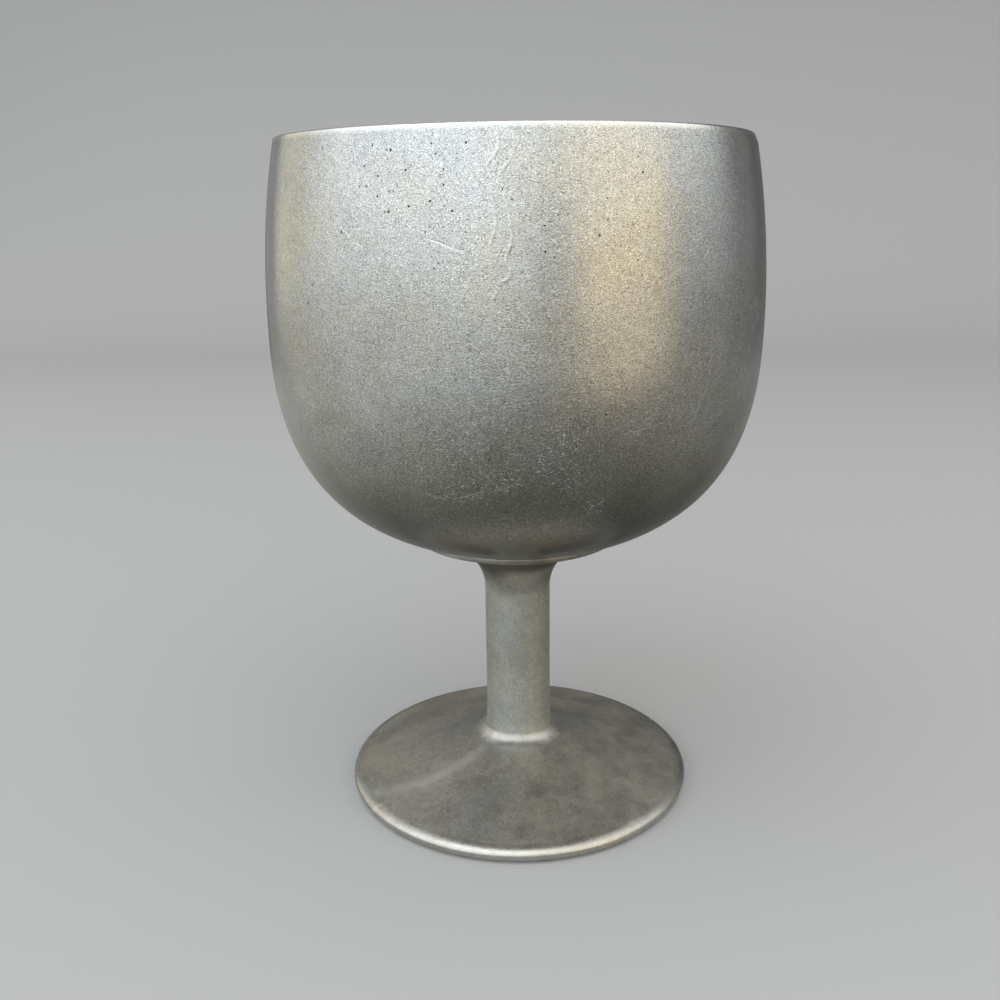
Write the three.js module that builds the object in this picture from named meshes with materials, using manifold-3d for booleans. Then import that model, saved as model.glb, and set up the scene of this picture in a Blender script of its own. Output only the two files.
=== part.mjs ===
// Communion chalice: a deep cast cup on a thin collar, a slim flared stem and a shallow cone foot.
// A hidden rod screws up into the cup's boss and is drawn tight by a nut in the foot's hollow.
// Millimetres, +Z up. The origin is the centre of the ring that the foot rests on.

import * as THREE from 'three';
import { mergeVertices } from 'three/addons/utils/BufferGeometryUtils.js';
import Module from 'manifold-3d';

const wasm = await Module();
wasm.setup();

// ---- driving dimensions -------------------------------------------------------------------

const OVERALL_HEIGHT = 150;

// Cup: widest at its belly, drawn in a little to the rim, and full and round below.
const BELLY_RADIUS = 54;
const BELLY_HEIGHT = 113.6;
const RIM_RADIUS = 50.4;
const CUP_DROP = 52.7;          // belly down to where the round underside would close on the axis
const CUP_FULLNESS = 2.62;      // exponent of the underside's curve; 2 would be an ellipse
const RIM_WALL = 2.4;
const BELLY_WALL = 3;
const CUP_FLOOR_HEIGHT = 68;    // inside of the cup, on the axis
const HOLLOW_FULLNESS = 2.5;
const RIM_ROUNDING = 0.6;

// Joint between cup and stem.
const SEAT_HEIGHT = 63.4;       // flat face under the cup
const COLLAR_RADIUS = 23.7;
const COLLAR_THICKNESS = 1.3;
const COLLAR_ROUNDING = 0.25;
const SEAT_GAP = 0.1;           // left between any two faces that are pulled together
const SPIGOT_RADIUS = 6;
const SPIGOT_LENGTH = 5.8;
const SPIGOT_CHAMFER = 0.6;
const SPIGOT_CLEARANCE = 0.3;   // all round the spigot, and under its end

// Stem.
const STEM_RADIUS = 7.7;
const FLARE_RADIUS = 15.8;      // the trumpet under the collar is a quarter circle
const FLARE_LIP = 0.5;
const ROD_BORE_RADIUS = 3.5;

// Foot: a shallow cone with a full round edge, hollow beneath.
const FOOT_RADIUS = 41.1;
const EDGE_ROUNDING = 1.8;
const CONE_ANGLE = THREE.MathUtils.degToRad(12.8);
const CONE_SAG = 0.35;          // how far the cone's side is hollowed from a straight line
const HUB_HEIGHT = 13.4;        // top of the foot, where the stem stands
const HUB_FILLET = 3.2;
const FOOT_WALL = 2.6;
const RESTING_RING_WIDTH = 3.1;
const HUB_BOSS_RADIUS = 9;
const HUB_BOSS_HEIGHT = 6.6;    // the washer bears here

// Fasteners: M6 rod, washers and a thin nut.
const ROD_RADIUS = 3;
const ROD_BOTTOM = 0.6;
const ROD_CHAMFER = 0.5;
const THREAD_CLEARANCE = 0.3;   // stands for the thread between the rod and the nut or the cup
const TAPPED_DEPTH = 8;
const ROD_END_SPACE = 0.4;
const WASHER_RADIUS = 8;
const WASHER_THICKNESS = 1;
const LOCK_WASHER_RADIUS = 5.3;
const LOCK_WASHER_THICKNESS = 1.1;
const LOCK_WASHER_SLOT = 1.2;
const NUT_ACROSS_FLATS = 10;
const NUT_THICKNESS = 3.2;
const NUT_CHAMFER = 0.5;

// How finely round shapes are divided.
const LARGE_SIDES = 48;
const SMALL_SIDES = 32;

// ---- outlines, as lists of [radius, height] -----------------------------------------------

// Points along a circular arc, both ends included; angles in radians, 0 pointing outwards.
function arc(centreRadius, centreHeight, radius, start, end, steps) {
  const points = [];
  for (let i = 0; i <= steps; i++) {
    const angle = start + ((end - start) * i) / steps;
    points.push([
      centreRadius + radius * Math.cos(angle),
      centreHeight + radius * Math.sin(angle),
    ]);
  }
  return points;
}

// A round underside that hangs from the belly: a superellipse, from its widest radius inwards
// to endRadius. It comes back ordered from the belly downwards.
function roundUnderside(widest, drop, fullness, endRadius, steps) {
  const endAngle = Math.acos(Math.pow(endRadius / widest, fullness / 2));
  const points = [];
  for (let i = 0; i <= steps; i++) {
    const angle = (endAngle * i) / steps;
    points.push([
      widest * Math.pow(Math.cos(angle), 2 / fullness),
      BELLY_HEIGHT - drop * Math.pow(Math.sin(angle), 2 / fullness),
    ]);
  }
  return points;
}

// The nearly straight wall from the belly up to a smaller radius at topHeight. It is one large
// arc, upright at the belly, so that it runs smoothly into the underside.
function upperWall(bellyRadius, topRadius, topHeight, steps) {
  const rise = topHeight - BELLY_HEIGHT;
  const inset = bellyRadius - topRadius;
  const radius = (rise * rise + inset * inset) / (2 * inset);
  return arc(bellyRadius - radius, BELLY_HEIGHT, radius, 0, Math.asin(rise / radius), steps);
}

// ---- solids -------------------------------------------------------------------------------

// Turns an outline about the Z axis. An outline that doesn't end on the axis is closed on itself.
function turned(outline, sides) {
  const points = outline.map(([radius, height]) => new THREE.Vector2(radius, height));
  const last = outline[outline.length - 1];
  const endsOnAxis = outline[0][0] === 0 && last[0] === 0;
  if (!endsOnAxis) {
    points.push(points[0].clone());
  }
  const geometry = new THREE.LatheGeometry(points, sides);
  geometry.rotateX(Math.PI / 2);
  return geometry;
}

function toSolid(geometry) {
  const bare = geometry.clone();
  bare.deleteAttribute('normal');
  bare.deleteAttribute('uv');
  const merged = mergeVertices(bare);
  const vertProperties = new Float32Array(merged.attributes.position.array);
  const triVerts = new Uint32Array(merged.index.array);
  return new wasm.Manifold(new wasm.Mesh({ numProp: 3, vertProperties, triVerts }));
}

function toGeometry(solid) {
  const mesh = solid.getMesh();
  const geometry = new THREE.BufferGeometry();
  geometry.setAttribute('position', new THREE.BufferAttribute(mesh.vertProperties, 3));
  geometry.setIndex(new THREE.BufferAttribute(mesh.triVerts, 1));
  geometry.computeVertexNormals();
  return geometry;
}

// A flat ring or washer.
function ring(innerRadius, outerRadius, bottom, top) {
  const outline = [
    [innerRadius, bottom],
    [outerRadius, bottom],
    [outerRadius, top],
    [innerRadius, top],
  ];
  return turned(outline, SMALL_SIDES);
}

// ---- sub-parts ----------------------------------------------------------------------------

// One casting: the cup's wall, its flat seat, and the spigot below it with a blind tapped hole.
function bowl() {
  const holeRadius = ROD_RADIUS + THREAD_CLEARANCE;
  const spigotBottom = SEAT_HEIGHT - SPIGOT_LENGTH;
  const outerRounding = OVERALL_HEIGHT - RIM_ROUNDING;
  const rimInnerRadius = RIM_RADIUS - RIM_WALL;
  const hollowRadius = BELLY_RADIUS - BELLY_WALL;
  const hollowDrop = BELLY_HEIGHT - CUP_FLOOR_HEIGHT;

  const outside = [
    ...roundUnderside(BELLY_RADIUS, CUP_DROP, CUP_FULLNESS, COLLAR_RADIUS, 13).reverse(),
    ...upperWall(BELLY_RADIUS, RIM_RADIUS, outerRounding, 6).slice(1),
  ];
  const rim = [
    ...arc(RIM_RADIUS - RIM_ROUNDING, outerRounding, RIM_ROUNDING, 0, Math.PI / 2, 3).slice(1),
    ...arc(rimInnerRadius + RIM_ROUNDING, outerRounding, RIM_ROUNDING, Math.PI / 2, Math.PI, 3),
  ];
  const inside = [
    ...upperWall(hollowRadius, rimInnerRadius, outerRounding, 6).reverse().slice(1),
    ...roundUnderside(hollowRadius, hollowDrop, HOLLOW_FULLNESS, 0, 12).slice(1, -1),
    [0, CUP_FLOOR_HEIGHT],
  ];
  const underside = [
    [0, spigotBottom + TAPPED_DEPTH],
    [holeRadius, spigotBottom + TAPPED_DEPTH],
    [holeRadius, spigotBottom],
    [SPIGOT_RADIUS - SPIGOT_CHAMFER, spigotBottom],
    [SPIGOT_RADIUS, spigotBottom + SPIGOT_CHAMFER],
    [SPIGOT_RADIUS, SEAT_HEIGHT],
    [COLLAR_RADIUS, SEAT_HEIGHT],
  ];
  // The flat seat cuts the round underside off just outside the collar.
  const aboveSeat = outside.filter(([, height]) => height > SEAT_HEIGHT);
  return turned([...underside, ...aboveSeat, ...rim, ...inside], LARGE_SIDES);
}

// The thin disc that shows as a crisp line between the cup and the stem.
function seatCollar() {
  const top = SEAT_HEIGHT - SEAT_GAP;
  const bottom = top - COLLAR_THICKNESS;
  const roundingCentre = COLLAR_RADIUS - COLLAR_ROUNDING;
  const outline = [
    [SPIGOT_RADIUS + SPIGOT_CLEARANCE, bottom],
    ...arc(roundingCentre, bottom + COLLAR_ROUNDING, COLLAR_ROUNDING, -Math.PI / 2, 0, 3),
    ...arc(roundingCentre, top - COLLAR_ROUNDING, COLLAR_ROUNDING, 0, Math.PI / 2, 3),
    [SPIGOT_RADIUS + SPIGOT_CLEARANCE, top],
  ];
  return turned(outline, LARGE_SIDES);
}

// A straight column that opens into a trumpet under the collar. Its bore clears the rod, and a
// wider pocket at the top takes the cup's spigot.
function stem() {
  const bottom = HUB_HEIGHT + SEAT_GAP;
  const top = SEAT_HEIGHT - COLLAR_THICKNESS - 2 * SEAT_GAP;
  const flareStart = top - FLARE_RADIUS;
  const flareEndAngle = Math.PI - Math.asin((FLARE_RADIUS - FLARE_LIP) / FLARE_RADIUS);
  const flareCentre = STEM_RADIUS + FLARE_RADIUS;
  const flare = arc(flareCentre, flareStart, FLARE_RADIUS, Math.PI, flareEndAngle, 9);
  const lipRadius = flare[flare.length - 1][0];
  const pocketRadius = SPIGOT_RADIUS + SPIGOT_CLEARANCE;
  const pocketBottom = SEAT_HEIGHT - SPIGOT_LENGTH - SPIGOT_CLEARANCE;
  const outline = [
    [ROD_BORE_RADIUS, bottom],
    [STEM_RADIUS, bottom],
    ...flare,
    [lipRadius, top],
    [pocketRadius, top],
    [pocketRadius, pocketBottom],
    [ROD_BORE_RADIUS, pocketBottom],
  ];
  return turned(outline, LARGE_SIDES);
}

// A shallow cone that ends in a full round edge outside and sweeps up to the stem inside. It
// rests on a flat ring, and a boss in its hollow takes the pull of the rod.
function foot() {
  const edgeCentre = FOOT_RADIUS - EDGE_ROUNDING;
  const ringInner = edgeCentre - RESTING_RING_WIDTH;
  const edgeEnd = Math.PI / 2 - CONE_ANGLE;
  const edge = arc(edgeCentre, EDGE_ROUNDING, EDGE_ROUNDING, -Math.PI / 2, edgeEnd, 7);
  const filletEnd = (3 * Math.PI) / 2 - CONE_ANGLE;
  const filletCentre = STEM_RADIUS + HUB_FILLET;
  const fillet = arc(filletCentre, HUB_HEIGHT, HUB_FILLET, filletEnd, Math.PI, 5);

  const [outerRadius, outerHeight] = edge[edge.length - 1];
  const [innerRadius, innerHeight] = fillet[0];
  const coneHeight = (radius) => {
    const along = (outerRadius - radius) / (outerRadius - innerRadius);
    const straight = outerHeight + (innerHeight - outerHeight) * along;
    return straight - 4 * CONE_SAG * along * (1 - along);
  };
  const coneSteps = 6;
  const cone = [];
  for (let i = 1; i < coneSteps; i++) {
    const radius = outerRadius + ((innerRadius - outerRadius) * i) / coneSteps;
    cone.push([radius, coneHeight(radius)]);
  }

  const ceilingSteps = 5;
  const ceilingInner = HUB_BOSS_RADIUS + 1;
  const ceiling = [];
  for (let i = 0; i <= ceilingSteps; i++) {
    const radius = ceilingInner + ((ringInner - ceilingInner) * i) / ceilingSteps;
    ceiling.push([radius, coneHeight(radius) - FOOT_WALL]);
  }

  const outline = [
    [ringInner, 0],
    ...edge,
    ...cone,
    ...fillet,
    [ROD_BORE_RADIUS, HUB_HEIGHT],
    [ROD_BORE_RADIUS, HUB_BOSS_HEIGHT],
    [HUB_BOSS_RADIUS, HUB_BOSS_HEIGHT],
    ...ceiling,
  ];
  return turned(outline, LARGE_SIDES);
}

// Plain studding with chamfered ends, from inside the nut up into the cup's tapped hole.
function tieRod() {
  const top = SEAT_HEIGHT - SPIGOT_LENGTH + TAPPED_DEPTH - ROD_END_SPACE;
  const outline = [
    [0, ROD_BOTTOM],
    [ROD_RADIUS - ROD_CHAMFER, ROD_BOTTOM],
    [ROD_RADIUS, ROD_BOTTOM + ROD_CHAMFER],
    [ROD_RADIUS, top - ROD_CHAMFER],
    [ROD_RADIUS - ROD_CHAMFER, top],
    [0, top],
  ];
  return turned(outline, SMALL_SIDES);
}

const WASHER_TOP = HUB_BOSS_HEIGHT - SEAT_GAP;
const LOCK_WASHER_TOP = WASHER_TOP - WASHER_THICKNESS - SEAT_GAP;
const NUT_TOP = LOCK_WASHER_TOP - LOCK_WASHER_THICKNESS - SEAT_GAP;
const FASTENER_BORE = ROD_RADIUS + THREAD_CLEARANCE;

function clampWasher() {
  return ring(FASTENER_BORE, WASHER_RADIUS, WASHER_TOP - WASHER_THICKNESS, WASHER_TOP);
}

// A ring cut through at one place, as a spring washer is.
function lockWasher() {
  const outerHalfGap = Math.asin(LOCK_WASHER_SLOT / 2 / LOCK_WASHER_RADIUS);
  const innerHalfGap = Math.asin(LOCK_WASHER_SLOT / 2 / FASTENER_BORE);
  const outline = new THREE.Shape();
  outline.absarc(0, 0, LOCK_WASHER_RADIUS, outerHalfGap, 2 * Math.PI - outerHalfGap, false);
  outline.absarc(0, 0, FASTENER_BORE, 2 * Math.PI - innerHalfGap, innerHalfGap, true);
  outline.closePath();
  const geometry = new THREE.ExtrudeGeometry(outline, {
    depth: LOCK_WASHER_THICKNESS,
    bevelEnabled: false,
    curveSegments: SMALL_SIDES / 2,
  });
  geometry.translate(0, 0, LOCK_WASHER_TOP - LOCK_WASHER_THICKNESS);
  return geometry;
}

// A hexagon with a hole, its corners turned off at both faces.
function nut() {
  const cornerRadius = NUT_ACROSS_FLATS / 2 / Math.cos(Math.PI / 6);
  const bottom = NUT_TOP - NUT_THICKNESS;
  const hexagon = new THREE.Shape();
  for (let i = 0; i < 6; i++) {
    const angle = (i * Math.PI) / 3;
    const x = cornerRadius * Math.cos(angle);
    const y = cornerRadius * Math.sin(angle);
    if (i === 0) {
      hexagon.moveTo(x, y);
    } else {
      hexagon.lineTo(x, y);
    }
  }
  hexagon.closePath();
  const prism = new THREE.ExtrudeGeometry(hexagon, { depth: NUT_THICKNESS, bevelEnabled: false });
  prism.translate(0, 0, bottom);

  const blank = turned(
    [
      [FASTENER_BORE, bottom],
      [cornerRadius - 2 * NUT_CHAMFER, bottom],
      [cornerRadius, bottom + NUT_CHAMFER],
      [cornerRadius, NUT_TOP - NUT_CHAMFER],
      [cornerRadius - 2 * NUT_CHAMFER, NUT_TOP],
      [FASTENER_BORE, NUT_TOP],
    ],
    SMALL_SIDES,
  );
  return toGeometry(toSolid(prism).intersect(toSolid(blank)));
}

// ---- assembly -----------------------------------------------------------------------------

const chalice = new THREE.Group();

function add(name, geometry, finish) {
  const mesh = new THREE.Mesh(geometry, new THREE.MeshStandardMaterial(finish));
  mesh.name = name;
  chalice.add(mesh);
}

add('bowl', bowl(), { color: 0x8d8b84, roughness: 0.42, metalness: 1 });
add('seat_collar', seatCollar(), { color: 0x918e84, roughness: 0.38, metalness: 1 });
add('stem', stem(), { color: 0x83847c, roughness: 0.45, metalness: 1 });
add('foot', foot(), { color: 0x86827a, roughness: 0.4, metalness: 1 });
add('tie_rod', tieRod(), { color: 0x9c9d9f, roughness: 0.35, metalness: 1 });
add('clamp_washer', clampWasher(), { color: 0xa3a4a6, roughness: 0.3, metalness: 1 });
add('lock_washer', lockWasher(), { color: 0x6f7072, roughness: 0.4, metalness: 1 });
add('nut', nut(), { color: 0xa0a1a3, roughness: 0.32, metalness: 1 });

export default chalice;
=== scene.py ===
import math
import random

import bmesh
import bpy
from mathutils import Matrix, Vector, noise


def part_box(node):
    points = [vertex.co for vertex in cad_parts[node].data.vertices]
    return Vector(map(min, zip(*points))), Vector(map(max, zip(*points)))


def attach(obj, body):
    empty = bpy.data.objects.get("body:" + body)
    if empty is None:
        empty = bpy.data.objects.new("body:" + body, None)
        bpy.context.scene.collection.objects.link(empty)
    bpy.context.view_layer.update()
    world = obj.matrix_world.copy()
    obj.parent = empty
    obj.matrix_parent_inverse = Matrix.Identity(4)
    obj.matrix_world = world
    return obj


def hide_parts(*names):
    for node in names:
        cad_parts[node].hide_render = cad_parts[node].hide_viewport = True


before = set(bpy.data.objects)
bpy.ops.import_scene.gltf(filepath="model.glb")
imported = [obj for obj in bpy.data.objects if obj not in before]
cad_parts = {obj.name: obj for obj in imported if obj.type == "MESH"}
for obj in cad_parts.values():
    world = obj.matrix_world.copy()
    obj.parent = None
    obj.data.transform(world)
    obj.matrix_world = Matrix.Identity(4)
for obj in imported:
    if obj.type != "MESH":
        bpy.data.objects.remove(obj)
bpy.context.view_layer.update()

# Communion chalice: the cup, collar, stem, foot and fasteners of the CAD model, rebuilt with the
# fine shape of a worn sand casting. Metres, +Z up, in the CAD frame.

MM = 0.001
QUARTER_TURN = math.pi / 2
ROOT = "root"


def clamped(value, low=0.0, high=1.0):
    return min(high, max(low, value))


# ---- sizes ----------------------------------------------

def radius_of(node):
    """Largest radius of a turned CAD node."""
    low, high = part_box(node)
    return (high[0] - low[0]) / 2


def bottom_of(node):
    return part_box(node)[0][2]


def top_of(node):
    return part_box(node)[1][2]


# Cup. Its box gives the belly's radius, the rim's height and the spigot's lower end.
BELLY_RADIUS = radius_of("bowl")
RIM_HEIGHT = top_of("bowl")
SPIGOT_BOTTOM = bottom_of("bowl")
BELLY_HEIGHT = 113.6 * MM
RIM_RADIUS = 50.4 * MM
CUP_DROP = 52.7 * MM
CUP_FULLNESS = 2.62
RIM_WALL = 2.4 * MM
BELLY_WALL = 3.0 * MM
CUP_FLOOR_HEIGHT = 68.0 * MM
HOLLOW_FULLNESS = 2.5
RIM_ROUNDING = 0.4 * MM
SPIGOT_RADIUS = 6.0 * MM
SPIGOT_CHAMFER = 0.6 * MM
TAPPED_DEPTH = 8.0 * MM

# Collar, stem and foot. The flare, the foot's shoulder and the hub's fillet are parts of ellipses.
COLLAR_RADIUS = radius_of("seat_collar")
COLLAR_ROUNDING = 0.3 * MM
SEAT_GAP = 0.1 * MM
SEAT_HEIGHT = top_of("seat_collar") + SEAT_GAP
STEM_RADIUS = 7.7 * MM
FLARE_WIDTH = 15.8 * MM
FLARE_HEIGHT = 13.2 * MM
ROD_BORE_RADIUS = 3.5 * MM
SPIGOT_CLEARANCE = 0.3 * MM
FOOT_RADIUS = radius_of("foot")
HUB_HEIGHT = top_of("foot")
EDGE_ROUNDING = 1.8 * MM
EDGE_SHOULDER = 3.2 * MM
CONE_ANGLE = math.radians(12.8)
CONE_SAG = 0.35 * MM
BASE_FLARE = 0.35 * MM
BASE_FLARE_HEIGHT = 4.0 * MM
HUB_FILLET_WIDTH = 5.2 * MM
HUB_FILLET_HEIGHT = 3.2 * MM
FOOT_WALL = 2.6 * MM
RESTING_RING_WIDTH = 3.1 * MM
HUB_BOSS_RADIUS = 9.0 * MM
HUB_BOSS_HEIGHT = top_of("clamp_washer") + SEAT_GAP

# Fasteners.
ROD_RADIUS = radius_of("tie_rod")
THREAD_PITCH = 1.0 * MM
THREAD_DEPTH = 0.55 * MM
FASTENER_BORE = ROD_RADIUS + 0.3 * MM


# ---- outlines: lists of (radius, height) ----------------

def arc(centre_radius, centre_height, radius, start, end, step):
    """Points along a circular arc, both ends included, about one step apart."""
    count = max(2, math.ceil(abs(end - start) * radius / step))
    points = []
    for i in range(count + 1):
        angle = start + (end - start) * i / count
        points.append((centre_radius + radius * math.cos(angle),
                       centre_height + radius * math.sin(angle)))
    return points


def line(start, end, step):
    """Points from start to end, both included."""
    length = math.dist(start, end)
    count = max(1, math.ceil(length / step))
    return [(start[0] + (end[0] - start[0]) * i / count,
             start[1] + (end[1] - start[1]) * i / count) for i in range(count + 1)]


def evenly(points, step):
    """The same curve through points that lie about one step apart."""
    lengths = [0.0]
    for a, b in zip(points, points[1:]):
        lengths.append(lengths[-1] + math.dist(a, b))
    count = max(1, math.ceil(lengths[-1] / step))
    spaced = []
    k = 0
    for i in range(count + 1):
        target = lengths[-1] * i / count
        while k < len(points) - 2 and lengths[k + 1] < target:
            k += 1
        t = clamped((target - lengths[k]) / (lengths[k + 1] - lengths[k]))
        a, b = points[k], points[k + 1]
        spaced.append((a[0] + (b[0] - a[0]) * t, a[1] + (b[1] - a[1]) * t))
    return spaced


def round_underside(widest, drop, fullness, end_radius):
    """A superellipse that hangs from the belly, from its widest radius inwards."""
    end_angle = math.acos((end_radius / widest) ** (fullness / 2))
    fine = 400
    points = []
    for i in range(fine + 1):
        angle = end_angle * i / fine
        points.append((widest * max(0.0, math.cos(angle)) ** (2 / fullness),
                       BELLY_HEIGHT - drop * math.sin(angle) ** (2 / fullness)))
    return points


def lean_radius(belly_radius, top_radius, top_height):
    """Radius of the arc by which the wall leans in, from upright at the belly to the rim."""
    rise = top_height - BELLY_HEIGHT
    inset = belly_radius - top_radius
    return (rise * rise + inset * inset) / (2 * inset)


def upper_wall(belly_radius, top_radius, top_height, step):
    """The wall from the belly up to the rim."""
    radius = lean_radius(belly_radius, top_radius, top_height)
    end = math.asin((top_height - BELLY_HEIGHT) / radius)
    return arc(belly_radius - radius, BELLY_HEIGHT, radius, 0, end, step)


def joined(*stretches):
    """Stretches put end to end, without repeating the point where two of them meet."""
    outline = []
    for stretch in stretches:
        for point in stretch:
            if not outline or math.dist(outline[-1], point) > 0.01 * MM:
                outline.append(point)
    return outline


def disc_outline(bore, outer, low, high, rounding, flat_step, round_step):
    """A flat ring with a rounded outer edge."""
    edge = outer - rounding
    return joined(
        line((bore, low), (edge, low), flat_step),
        arc(edge, low + rounding, rounding, -QUARTER_TURN, 0, round_step),
        arc(edge, high - rounding, rounding, 0, QUARTER_TURN, round_step),
        line((edge, high), (bore, high), flat_step))


# ---- meshes ---------------------------------------------

ON_AXIS = 1e-7
SHARP_EDGE = math.radians(40)
# What the vertices say of the metal, for the materials to read.
LAYERS = ("grime", "tarnish_and_painted_shade", "wear_and_painted_highlight", "scuff", "matt")


def outline_normals(outline, closed):
    """Unit normals, pointing out of the metal, of an outline that runs anticlockwise."""
    count = len(outline)
    normals = []
    for i in range(count):
        before = outline[i - 1] if closed or i > 0 else outline[i]
        after = outline[(i + 1) % count] if closed or i < count - 1 else outline[i]
        along = Vector((after[0] - before[0], after[1] - before[1]))
        along.normalize()
        normals.append((along.y, -along.x))
    return normals


def turned_mesh(outline, sides, relief=None, closed=True):
    """A bmesh turned about Z, and its faces by row and column. relief(radius, angle, height)
    gives how far the surface stands proud of the outline there. An outline that isn't closed
    starts and ends on the axis."""
    bm = bmesh.new()
    for layer in LAYERS:
        bm.verts.layers.float.new(layer)
    normals = outline_normals(outline, closed)
    rings = []
    for (radius, height), (out_r, out_z) in zip(outline, normals):
        if radius < ON_AXIS:
            rings.append([bm.verts.new((0, 0, height))])
            continue
        ring = []
        for j in range(sides):
            angle = 2 * math.pi * j / sides
            proud = relief(radius, angle, height) if relief else 0.0
            r = radius + out_r * proud
            ring.append(bm.verts.new((r * math.cos(angle), r * math.sin(angle),
                                      height + out_z * proud)))
        rings.append(ring)
    if closed:
        rings.append(rings[0])
    grid = []
    for lower, upper in zip(rings, rings[1:]):
        row = []
        for j in range(sides):
            k = (j + 1) % sides
            if len(lower) == 1:
                corners = (lower[0], upper[k], upper[j])
            elif len(upper) == 1:
                corners = (lower[j], lower[k], upper[0])
            else:
                corners = (lower[j], lower[k], upper[k], upper[j])
            row.append(bm.faces.new(corners))
        grid.append(row)
    bm.normal_update()
    return bm, grid


def as_object(name, bm, material, node):
    """Makes the piece from its bmesh, rides it on the body, and lets it stand for its node."""
    for face in bm.faces:
        face.smooth = True
    mesh = bpy.data.meshes.new(name)
    bm.to_mesh(mesh)
    bm.free()
    mesh.set_sharp_from_angle(angle=SHARP_EDGE)
    piece = bpy.data.objects.new(name, mesh)
    bpy.context.scene.collection.objects.link(piece)
    mesh.materials.append(material)
    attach(piece, ROOT)
    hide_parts(node)
    return piece


# ---- cast surface ---------------------------------------

SLOW_SWELL = 22 * MM
QUICK_SWELL = 7 * MM
SAND_GRAIN = 1.9 * MM
# The rings of a pit, from its brim to its floor: shares of its size and depth, and the grime.
PIT_RINGS = ((1.0, 0.0, 0.15), (0.80, 0.55, 0.7), (0.42, 1.0, 0.95))
# A mark is fainter in some stretches of about this length than in others. The mesh is made
# finer this far to each side of it.
MARK_STRETCH = 2.2 * MM
MARK_MARGIN = 0.7 * MM


def at(radius, angle, height, scale):
    """A place on the surface, in noise space, where one unit is scale metres."""
    return Vector((radius * math.cos(angle), radius * math.sin(angle), height)) / scale


def cast_relief(swell, grain, seed):
    """Slow swells left by the mould and the polishing wheel, and the grain of the sand."""
    shift = Vector((seed, 2.3 * seed, -1.7 * seed))

    def relief(radius, angle, height):
        slow = noise.noise(at(radius, angle, height, SLOW_SWELL) + shift)
        quick = noise.noise(at(radius, angle, height, QUICK_SWELL) + shift)
        fine = noise.noise(at(radius, angle, height, SAND_GRAIN) + shift)
        return swell * (slow + 0.35 * quick) + grain * fine
    return relief


def pit(bm, face, size, depth, chance):
    """Sinks an eight-sided pit, rough round the edge, into the middle of a four-sided face."""
    corners = list(face.verts)
    middle = face.calc_center_median()
    inwards = -face.normal
    across = ((corners[0].co + corners[3].co) - (corners[1].co + corners[2].co)).normalized()
    along = face.normal.cross(across)
    start = math.atan2((corners[0].co - middle).dot(along), (corners[0].co - middle).dot(across))
    turn = 1 if face.normal.dot((corners[0].co - middle).cross(corners[1].co - middle)) > 0 else -1
    bm.faces.remove(face)
    grime = bm.verts.layers.float["grime"]
    wobble = [chance.uniform(0.75, 1.15) for _ in range(8)]
    rings = []
    for share, sunk, dirt in PIT_RINGS:
        ring = []
        for k in range(8):
            angle = start + turn * math.radians(45 * k - 22.5)
            radius = size * share * wobble[k]
            vert = bm.verts.new(middle + inwards * depth * sunk
                                + across * radius * math.cos(angle)
                                + along * radius * math.sin(angle))
            vert[grime] = dirt
            ring.append(vert)
        rings.append(ring)
    top = rings[0]
    for i in range(4):
        a, b, c = top[2 * i], top[2 * i + 1], top[(2 * i + 2) % 8]
        bm.faces.new((corners[i], b, a))
        bm.faces.new((corners[i], corners[(i + 1) % 4], c, b))
    for upper, lower in zip(rings, rings[1:]):
        for k in range(8):
            j = (k + 1) % 8
            bm.faces.new((upper[k], upper[j], lower[j], lower[k]))
    bm.faces.new(rings[-1])


def distance_to(route, point):
    """How far a point lies from the nearest part of a route."""
    best = 1.0
    for a, b in zip(route, route[1:]):
        along = b - a
        share = clamped((point - a).dot(along) / along.length_squared)
        best = min(best, (point - a - along * share).length)
    return best


def mark(bm, route, width, height, gloss):
    """Raises a ridge, or with a height below 0 cuts a scratch, along a route over the surface.
    The faces near it are first made small enough to hold its shape."""
    near = width / 2 + MARK_MARGIN
    low = [min(p[i] for p in route) - near for i in range(3)]
    high = [max(p[i] for p in route) + near for i in range(3)]

    def close(point, reach):
        inside = all(low[i] <= point[i] <= high[i] for i in range(3))
        return inside and distance_to(route, point) < reach

    faces = [f for f in bm.faces if len(f.verts) == 4 and close(f.calc_center_median(), near)]
    edges = {e for f in faces for e in f.edges}
    bmesh.ops.subdivide_edges(bm, edges=list(edges), cuts=3, use_grid_fill=True)
    wear_and_painted_highlight = bm.verts.layers.float["wear_and_painted_highlight"]
    bm.normal_update()
    for vert in bm.verts:
        if close(vert.co, width):
            share = math.exp(-(distance_to(route, vert.co) / (width * 0.42)) ** 2)
            broken = 1 + 1.3 * noise.noise(vert.co / MARK_STRETCH)
            share *= clamped(broken, 0.15, 1.3)
            vert.co += vert.normal * height * share
            vert[wear_and_painted_highlight] = max(vert[wear_and_painted_highlight], gloss * min(1.0, share))


# ---- materials ------------------------------------------

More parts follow.
